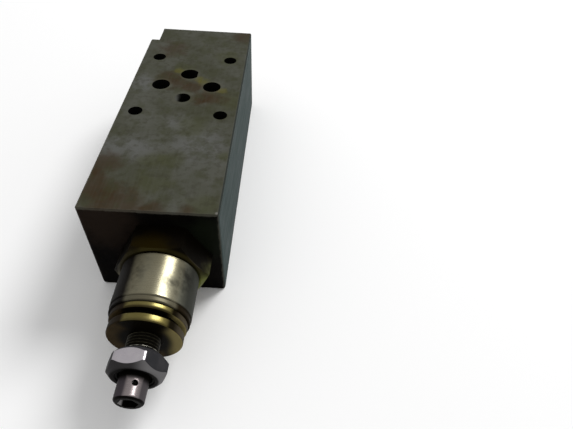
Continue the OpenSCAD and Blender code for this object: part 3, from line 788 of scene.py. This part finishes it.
def block_front(tree, coords):
    """Front face: painted shade over dark oil, brown at the upper left and greenish at the right."""
    colour = blend(tree, blotches(tree, coords, 80.0, 0.4, 0.7), FRONT_SHADE_AND_OIL, PALE_FRONT_SHADE_AND_OIL)
    upper_left = (BLOCK_LOW.x + 7 * MM, BLOCK_LOW.y, BLOCK_HIGH.z - 6 * MM)
    colour = blend(tree, spot(tree, coords, upper_left, 17 * MM, 0.8), colour, BROWN_FRONT_SHADE_AND_OIL)
    right = (BLOCK_HIGH.x - 4 * MM, BLOCK_LOW.y, AXIS_Z + 8 * MM)
    return blend(tree, spot(tree, coords, right, 15 * MM, 0.8), colour, GREEN_TINT_IN_FRONT_SHADE)


def block_wear(tree, coords, colour, box, facing_x, facing_z):
    """Colour with worn edges, a nick in the front right corner and painted shade on the edge break on the
    right.
    """
    edge = use_group(tree, BLOCK_EDGE, box)
    uneven = maths(tree, "MULTIPLY", noise(tree, coords, 420.0, 5.0), 1.6 * MM)
    worn = spread(tree, maths(tree, "SUBTRACT", edge, uneven), 0.1 * MM, -0.5 * MM)
    colour = blend(tree, weakened(tree, worn, 0.25), colour, WORN_EDGE)
    corner = (BLOCK_HIGH.x - 0.9 * MM, BLOCK_LOW.y + 1.0 * MM, BLOCK_HIGH.z)
    colour = blend(tree, spot(tree, coords, corner, 0.7 * MM, 0.8), colour, BARE_NICK)
    # Painted shade on the right edge break, found by its facing
    right_break = both(tree, spread(tree, facing_x, 0.3, 0.55), spread(tree, facing_z, 0.3, 0.55))
    return blend(tree, right_break, colour, RIGHT_EDGE_BREAK_SHADE)


def block_bores(tree, coords, colour, box, upright):
    """Colour with painted shade in the bores and a painted lit patch on port B's lip. The corner notch's
    walls aren't bores.
    """
    x, y, _ = parts(tree, coords)
    notch_x = maths(tree, "LESS_THAN", x, BLOCK_LOW.x + NOTCH_WIDTH + NOTCH_MARGIN)
    notch_y = maths(tree, "GREATER_THAN", y, BLOCK_HIGH.y - NOTCH_LENGTH - NOTCH_MARGIN)
    # Painted shade in the bores
    inner = both(tree, spread(tree, use_group(tree, BLOCK_WALL, box), 0.6 * MM, 1.0 * MM), upright)
    bore = either(tree, inner, spread(tree, use_group(tree, BLOCK_SIDE, box), 0.3 * MM, 1.0 * MM))
    not_notch = outside(tree, both(tree, notch_x, notch_y))
    colour = blend(tree, both(tree, bore, not_notch), colour, BORE_SHADE)
    # Painted lit patch on port B's left lip
    b_lip = (B_PORT.x - 3 * MM, B_PORT.y + 0.6 * MM, BLOCK_HIGH.z - 0.8 * MM)
    lip = spot(tree, coords, b_lip, 3.0 * MM, 0.4)
    return blend(tree, both(tree, lip, bore), colour, LIT_BORE_LIP)


def block_steel():
    """Ground steel under old oil: clouded top and underside, a painted blue reflection on the right side,
    and painted shade on the front and in the bores.
    """
    material, tree, shader = new_material("oiled_block_steel", Specular_IOR_Level=BLOCK_SPECULAR)
    coords = object_coords(tree)
    facing_x, facing_y, facing_z = facing(tree)
    box = {"Vector": coords, "Low": BLOCK_LOW, "High": BLOCK_HIGH}
    upright = spread(tree, maths(tree, "ABSOLUTE", facing_z), 0.8, 0.4)
    grind = noise(tree, stretched(tree, coords, (900, 60, 900)), 1.0, 3.0)
    colour = blend(tree, upright, block_top(tree, coords, grind), block_sides(tree, coords, facing_x))
    # The front face takes painted shade
    front = spread(tree, facing_y, -0.5, -0.9)
    colour = blend(tree, front, colour, block_front(tree, coords))
    colour = block_wear(tree, coords, colour, box, facing_x, facing_z)
    colour = block_bores(tree, coords, colour, box, upright)
    tree.links.new(colour, shader["Base Color"])
    tree.links.new(spread(tree, grind, 0.2, 0.8, 0.42, 0.62), shader["Roughness"])
    fine = noise(tree, coords, 2600.0, 3.0)
    height = maths(tree, "ADD", weakened(tree, grind, 0.6), weakened(tree, fine, 0.4))
    tree.links.new(bump(tree, height, 0.18, 0.05 * MM), shader["Normal"])
    return material


def metal_finish(tree, shader, colour, shade_and_dirt, shade_and_dirt_colour, tone, rough, relief=0.15):
    """Joins a metal's clean colour and its painted shade and grime, which are darker, duller and hide the
    metal.
    """
    tree.links.new(blend(tree, shade_and_dirt, colour, shade_and_dirt_colour), shader["Base Color"])
    tree.links.new(outside(tree, shade_and_dirt), shader["Metallic"])
    shine = spread(tree, tone, 0.2, 0.8, rough - 0.05, rough + 0.07)
    tree.links.new(maths(tree, "ADD", shine, weakened(tree, shade_and_dirt, 0.18)), shader["Roughness"])
    tree.links.new(bump(tree, tone, relief, 0.02 * MM), shader["Normal"])


def gold_bush():
    """Yellow chromated bush: gold bands above, painted shade on the sides, band edges, groove, front and
    right, black painted shade round the spindle, and painted reflections at the far right and on the
    front's right rim.
    """
    material, tree, shader = new_material("gold_chromate_bush", Specular_IOR_Level=OIL_SPECULAR)
    coords = object_coords(tree)
    x, y, _ = parts(tree, coords)
    colour = blend(tree, blotches(tree, coords, 130.0, 0.35, 0.7), GOLD, PALE_GOLD)
    colour = blend(tree, blotches(tree, coords, 60.0, 0.45, 0.75), colour, CLOUDED_GOLD)
    radius = axis_distance(tree, coords)
    outer_r = (BUSH_HIGH.x - BUSH_LOW.x) / 2
    deep = spread(tree, radius, outer_r - 0.9 * MM, outer_r - 1.4 * MM)
    seam = spread(tree, y, WASHER_FRONT - 0.45 * MM, WASHER_FRONT - 0.15 * MM)
    front = spread(tree, facing(tree)["Y"], -0.55, -0.85)
    # Painted shade on the bush's sides by their facing
    sides = facing_shade(tree, coords, around(tree, coords, 81), 0.91, 0.78, 0.06)
    sides = weaker_shade_below(tree, coords, sides)
    # Painted shade on the bands' edges and in front
    front_edge = spread(tree, y, BUSH_LOW.y + 1.5 * MM, BUSH_LOW.y + 0.3 * MM, 0.0, 0.6)
    from_rear_band = maths(tree, "SUBTRACT", y, WASHER_FRONT - REAR_BAND)
    rear_edge = spread(tree, from_rear_band, 1.2 * MM, 0.4 * MM, 0.0, 0.85)
    behind_groove = spread(tree, y, BUSH_LOW.y + 3 * MM, BUSH_LOW.y + 4 * MM)
    edges = either(tree, front_edge, both(tree, rear_edge, behind_groove))
    shade_and_dirt = either(tree, either(tree, sides, either(tree, seam, edges)), either(tree, deep, front))

    clouds = blotches(tree, coords, 160.0, 0.35, 0.65)
    shade_and_oil = blend(tree, clouds, BUSH_FRONT_BROWN, PALE_BUSH_FRONT_BROWN)
    shade_and_oil = blend(tree, front, BAND_SHADE, shade_and_oil)
    # Painted shade on the right, and painted reflections at the far right and on the front's right rim
    right = spread(tree, x, AXIS_X + 3 * MM, AXIS_X + 6 * MM)
    shade_and_oil = blend(tree, right, shade_and_oil, RIGHT_BUSH_SHADE)
    far_right = spread(tree, x, AXIS_X + 9 * MM, AXIS_X + 11 * MM)
    shade_and_oil = blend(tree, far_right, shade_and_oil, FAR_RIGHT_BUSH_REFLECTION)
    rim_reflection = both(tree, front, spread(tree, x, AXIS_X + 5 * MM, AXIS_X + 9.5 * MM))
    shade_and_oil = blend(tree, rim_reflection, shade_and_oil, BUSH_RIM_REFLECTION)
    # Black painted shade round the spindle, above the nut and in the groove, with the dark seam by the
    # washer
    near_spindle = spread(tree, radius, outer_r - 2.4 * MM, outer_r - 5.5 * MM)
    above_nut = both(tree, front, spread(tree, around(tree, coords, 84), 0.62, 0.86))
    groove = both(tree, deep, outside(tree, front))
    black = either(tree, either(tree, near_spindle, seam), either(tree, above_nut, groove))
    shade_and_oil = blend(tree, black, shade_and_oil, BUSH_BLACK)
    metal_finish(tree, shader, colour, shade_and_dirt, shade_and_oil, rings(tree, coords, 5200.0), 0.28)
    return material


def gold_hexagon():
    """Yellow chromated hexagon in painted shade, dark brown on top, with painted highlights on its front
    rim and olive at the right, and gold below.
    """
    material, tree, shader = new_material("gold_chromate_hexagon", Specular_IOR_Level=OIL_SPECULAR)
    coords = object_coords(tree)
    brown = spot(tree, coords, (AXIS_X - 1.5 * MM, HEX_FRONT + 0.5 * MM, HEX_TOP), 9 * MM, 0.9)
    # Place of the painted olive highlight
    olive = spot(tree, coords, (AXIS_X + 14 * MM, HEX_FRONT, AXIS_Z - 4 * MM), 10 * MM, 0.9)
    y = parts(tree, coords)["Y"]
    # Painted highlight on the front rim
    rim = spread(tree, y, HEX_FRONT + 0.9 * MM, HEX_FRONT + 0.4 * MM, 0.0, 0.5)
    colour = blend(tree, rim, SHADED_HEX_TOP_BROWN, HEX_RIM_HIGHLIGHT)
    colour = blend(tree, olive, colour, HEX_OLIVE_HIGHLIGHT)
    colour = blend(tree, underside(tree, coords), colour, HEX_UNDERSIDE_GOLD)
    # Painted shade over the whole hexagon except its brown top, rim and olive patch
    shade_and_dirt = outside(tree, either(tree, either(tree, brown, rim), olive))
    shade_and_dirt = weaker_shade_below(tree, coords, shade_and_dirt)
    metal_finish(tree, shader, colour, shade_and_dirt, HEX_SHADE, noise(tree, coords, 900.0, 4.0), 0.3)
    return material


def sleeve_smudges(tree, coords):
    """Mask of the patchy dark smudges on the sleeve."""
    smudge = 0.0
    sleeve_r = (SLEEVE_HIGH.x - SLEEVE_LOW.x) / 2
    for degrees, along, radius, strength in SLEEVE_SMUDGES:
        turn = math.radians(degrees)
        centre = (AXIS_X + sleeve_r * math.cos(turn), along * MM, AXIS_Z + sleeve_r * math.sin(turn))
        share = weakened(tree, spot(tree, coords, centre, radius * MM, 1.2), strength)
        smudge = either(tree, share, smudge)
    patchy = spread(tree, noise(tree, coords, 330.0, 6.0, 0.6), 0.32, 0.66, 0.35, 1.0)
    return both(tree, smudge, patchy)


def turned_steel():
    """Bright turned steel: painted shade on its left, a painted reflection on its right that darkens to
    painted shade at the far right, darker next to the washer, and dark smudges between.
    """
    material, tree, shader = new_material("turned_sleeve_steel", Specular_IOR_Level=OIL_SPECULAR)
    coords = object_coords(tree)
    x, y, _ = parts(tree, coords)
    tone = rings(tree, coords, 9000.0)
    colour = blend(tree, spread(tree, tone, 0.3, 0.75), SLEEVE_STEEL, PALE_SLEEVE_STEEL)
    rear = spread(tree, y, SLEEVE_LOW.y + 4 * MM, SLEEVE_HIGH.y, 0.0, 0.6)
    film = either(tree, weakened(tree, blotches(tree, coords, 70.0, 0.42, 0.7), 0.45), rear)
    colour = blend(tree, film, colour, SLEEVE_FILM)
    smudge = sleeve_smudges(tree, coords)
    washer = spread(tree, y, SLEEVE_LOW.y + 0.5 * MM, SLEEVE_LOW.y)
    # Painted shade on the sleeve's sides by their facing
    sides = facing_shade(tree, coords, around(tree, coords, 80), 0.935, 0.735, 0.08)
    sides = weaker_shade_below(tree, coords, sides)
    shade_and_dirt = either(tree, either(tree, sides, smudge), weakened(tree, washer, 0.55))
    # Painted shade on the left, a painted reflection on the right turning to painted shade at the far
    # right
    left = spread(tree, x, AXIS_X + 2 * MM, AXIS_X - 5 * MM)
    far_right = spread(tree, x, AXIS_X + 8.5 * MM, AXIS_X + 11.5 * MM)
    right_side_tone = blend(tree, far_right, SLEEVE_RIGHT_REFLECTION, FAR_RIGHT_SLEEVE_SHADE)
    right_side_tone = blend(tree, washer, right_side_tone, WASHER_EDGE_DARK)
    dark = blend(tree, either(tree, left, smudge), right_side_tone, SLEEVE_SHADE_AND_OIL)
    metal_finish(tree, shader, colour, shade_and_dirt, dark, tone, 0.26)
    return material


def zinc_plate():
    """Zinc plate with a faint lilac cast: clean on top, painted shade on its sides and front, a painted
    reflection on the front's right and black painted shade round its recess.
    """
    material, tree, shader = new_material("zinc_nut_plate", Specular_IOR_Level=OIL_SPECULAR)
    coords = object_coords(tree)
    _, facing_y, facing_z = facing(tree)
    colour = blend(tree, blotches(tree, coords, 260.0, 0.35, 0.7), ZINC, PALE_ZINC)
    # Painted shade on the nut's sides and front by their facing; the top stays clean
    shade_and_dirt = facing_shade(tree, coords, facing_z, 0.82, 0.74, 0.06)
    dark = blend(tree, blotches(tree, coords, 210.0, 0.4, 0.66), NUT_SIDE_SHADE, PALE_NUT_SIDE_SHADE)
    dark = blend(tree, spread(tree, facing_y, -0.3, -0.9), dark, NUT_FRONT_SHADE)
    x = parts(tree, coords)["X"]
    # Painted reflection on the front face's right
    right = both(tree, spread(tree, facing_y, -0.5, -0.85), spread(tree, x, AXIS_X, AXIS_X + 5 * MM))
    dark = blend(tree, right, dark, NUT_FRONT_RIGHT_REFLECTION)
    radius = axis_distance(tree, coords)
    # Black painted shade round the recess
    recess = spread(tree, radius, NUT_RECESS_R + 1.7 * MM, NUT_RECESS_R + 0.7 * MM)
    dark = blend(tree, recess, dark, NUT_RECESS_SHADE)
    metal_finish(tree, shader, colour, shade_and_dirt, dark, noise(tree, coords, 500.0, 2.0), 0.3, 0.03)
    return material


def spindle_steel():
    """Plain turned steel, browned a little, with painted shade on its sides, black painted shade and oil
    in its thread and socket and on its end, a bright crest behind the nut for a painted highlight and a
    painted reflection on the socket's left wall.
    """
    material, tree, shader = new_material("dark_spindle_steel", Specular_IOR_Level=OIL_SPECULAR)
    coords = object_coords(tree)
    facing_x, facing_y, _ = facing(tree)
    x, y, z = parts(tree, coords)
    tone = rings(tree, coords, 9000.0)
    colour = blend(tree, spread(tree, tone, 0.3, 0.75), SPINDLE_STEEL, PALE_SPINDLE_STEEL)
    radius = axis_distance(tree, coords)
    thread = spread(tree, y, NUT_LOW.y + 1 * MM, NUT_LOW.y + 2 * MM)
    crest = both(tree, thread, spread(tree, radius, THREAD_R - 0.2 * MM, THREAD_R - 0.04 * MM))
    colour = blend(tree, thread, colour, THREAD_STEEL)
    colour = blend(tree, crest, colour, THREAD_CREST)
    # Bright crest behind the nut, for a painted highlight
    highlight_crest = both(tree, crest, spread(tree, y, NUT_HIGH.y + 2.2 * MM, NUT_HIGH.y + 1.2 * MM))
    colour = blend(tree, highlight_crest, colour, HIGHLIGHT_CREST)
    socket = spread(tree, radius, SOCKET_EDGE_R + 0.05 * MM, SOCKET_EDGE_R - 0.05 * MM)
    root = spread(tree, y, NUT_LOW.y - 2.2 * MM, NUT_LOW.y - 0.4 * MM)
    # Painted shade on the end face, in the socket and at the thread's root
    black = either(tree, either(tree, spread(tree, facing_y, -0.25, -0.6), socket), root)
    # Painted shade on the spindle's sides by their facing
    side = facing_shade(tree, coords, around(tree, coords, 72), 0.97, 0.8, 0.05)
    shade_and_oil = spread(tree, maths(tree, "ADD", crest, highlight_crest), 0.0, 2.0, 0.85, 0.0)
    shade_and_dirt = put(tree, "ShaderNodeMix", {0: thread, 2: either(tree, side, black), 3: shade_and_oil}).outputs[0]
    right = spread(tree, x, AXIS_X - 1 * MM, AXIS_X + 2 * MM)
    dark = blend(tree, right, SPINDLE_SIDE_SHADE, PALE_SPINDLE_SIDE_SHADE)
    dark = blend(tree, either(tree, black, thread), dark, SPINDLE_SHADE_AND_OIL)
    # Painted reflection on the socket's left wall
    left_wall = both(tree, socket, spread(tree, facing_x, 0.3, 0.6))
    reflecting_wall = both(tree, left_wall, spread(tree, z, AXIS_Z - 1.7 * MM, AXIS_Z - 0.9 * MM))
    dark = blend(tree, reflecting_wall, dark, SOCKET_WALL_REFLECTION)
    metal_finish(tree, shader, colour, shade_and_dirt, dark, tone, 0.24)
    return material


def plain_metal(name, dark, light, rough):
    """A machined steel surface with soft clouds, for the plug at the back and the pieces inside."""
    material, tree, shader = new_material(name, Metallic=1.0)
    coords = object_coords(tree)
    clouds = blotches(tree, coords, 140.0, 0.35, 0.7)
    tree.links.new(blend(tree, clouds, dark, light), shader["Base Color"])
    grain = noise(tree, coords, 1500.0, 4.0)
    tree.links.new(spread(tree, grain, 0.25, 0.75, rough - 0.07, rough + 0.09), shader["Roughness"])
    tree.links.new(bump(tree, grain, 0.15, 0.03 * MM), shader["Normal"])
    return material


def seal_rubber():
    """Black nitrile rubber with a dusty sheen."""
    material, tree, shader = new_material("nitrile_rubber", Specular_IOR_Level=OIL_SPECULAR)
    coords = object_coords(tree)
    dust = blotches(tree, coords, 300.0, 0.4, 0.7)
    tree.links.new(blend(tree, dust, RUBBER, DUSTY_RUBBER), shader["Base Color"])
    tree.links.new(spread(tree, dust, 0.0, 1.0, 0.5, 0.65), shader["Roughness"])
    return material


SLOT_MATERIALS = {
    "body_steel": block_steel(),
    "gold_chromate": gold_bush(),
    "turned_steel": turned_steel(),
    "zinc_plate": zinc_plate(),
    "spindle_steel": spindle_steel(),
    "plug_steel": plain_metal("phosphated_plug_steel", PLUG_STEEL, PALE_PLUG_STEEL, 0.45),
    "inner_steel": plain_metal("ground_inner_steel", INNER_STEEL, PALE_INNER_STEEL, 0.27),
    "seal_rubber": seal_rubber(),
}
NODE_SLOTS = {part["node"]: part["material_slot"] for part in frame["record"]["subparts"]}
for node_name, node_object in NODES.items():
    node_object.material_slots[0].material = SLOT_MATERIALS[NODE_SLOTS[node_name]]
NODES["hex_plug"].material_slots[0].material = gold_hexagon()


def dress(piece, node):
    """Lets a piece stand for a node, with the finish of the node's slot."""
    piece.data.materials.clear()
    piece.data.materials.append(SLOT_MATERIALS[NODE_SLOTS[node]])
    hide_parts(node)
    return piece


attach(dress(lock_nut(), "lock_nut"), "nut")
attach(dress(spindle(), "adjusting_spindle"), "spindle")
for half_name, seat_body, seat_end in (
        ("spring_rear_half", "spool", SPRING_HIGH.y), ("spring_front_half", "pad", SPRING_LOW.y)):
    half = dress(spring_half(half_name, seat_end), "main_spring")
    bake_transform(half)


# Stage, light and camera


def floor():
    """Plain pale floor under the block's bottom face."""
    shape = bmesh.new()
    bmesh.ops.create_grid(shape, x_segments=1, y_segments=1, size=FLOOR_SIZE / 2)
    made = new_piece("floor", shape)
    material, _, shader = new_material("pale_floor", Roughness=0.9, Specular_IOR_Level=0.0)
    shader["Base Color"].default_value = FLOOR_COLOUR
    made.data.materials.append(material)


def key_light():
    lamp = bpy.data.lights.new("key", "AREA")
    lamp.shape = "DISK"
    lamp.size = KEY_SIZE
    lamp.energy = KEY_POWER
    made = bpy.data.objects.new("key", lamp)
    middle = (cad_low + cad_high) / 2
    made.location = middle + KEY_DIRECTION.normalized() * KEY_DISTANCE
    made.rotation_euler = KEY_DIRECTION.to_track_quat("Z", "Y").to_euler()
    bpy.context.scene.collection.objects.link(made)


def sky():
    """Soft light from above that fades towards the horizon."""
    world = bpy.data.worlds.new("soft_sky")
    world.use_nodes = True
    tree = world.node_tree
    direction = put(tree, "ShaderNodeTexCoord").outputs["Generated"]
    height = maths(tree, "MAXIMUM", put(tree, "ShaderNodeSeparateXYZ", {0: direction}).outputs["Z"], 0.0)
    share = maths(tree, "POWER", height, SKY_FALL)
    level = maths(tree, "ADD", HORIZON_LEVEL, maths(tree, "MULTIPLY", share, SKY_LEVEL - HORIZON_LEVEL))
    background = tree.nodes["Background"].inputs
    background["Color"].default_value = (1, 1, 1, 1)
    tree.links.new(level, background["Strength"])
    bpy.context.scene.world = world


def camera():
    lens = bpy.data.cameras.new("camera")
    lens.lens = CAMERA_LENS
    lens.clip_start = 0.01
    made = bpy.data.objects.new("camera", lens)
    made.location = CAMERA_PLACE
    made.rotation_euler = [math.radians(angle) for angle in CAMERA_TURN]
    bpy.context.scene.collection.objects.link(made)
    bpy.context.scene.camera = made


floor()
key_light()
sky()
camera()
bpy.context.scene.view_settings.view_transform = "Standard"
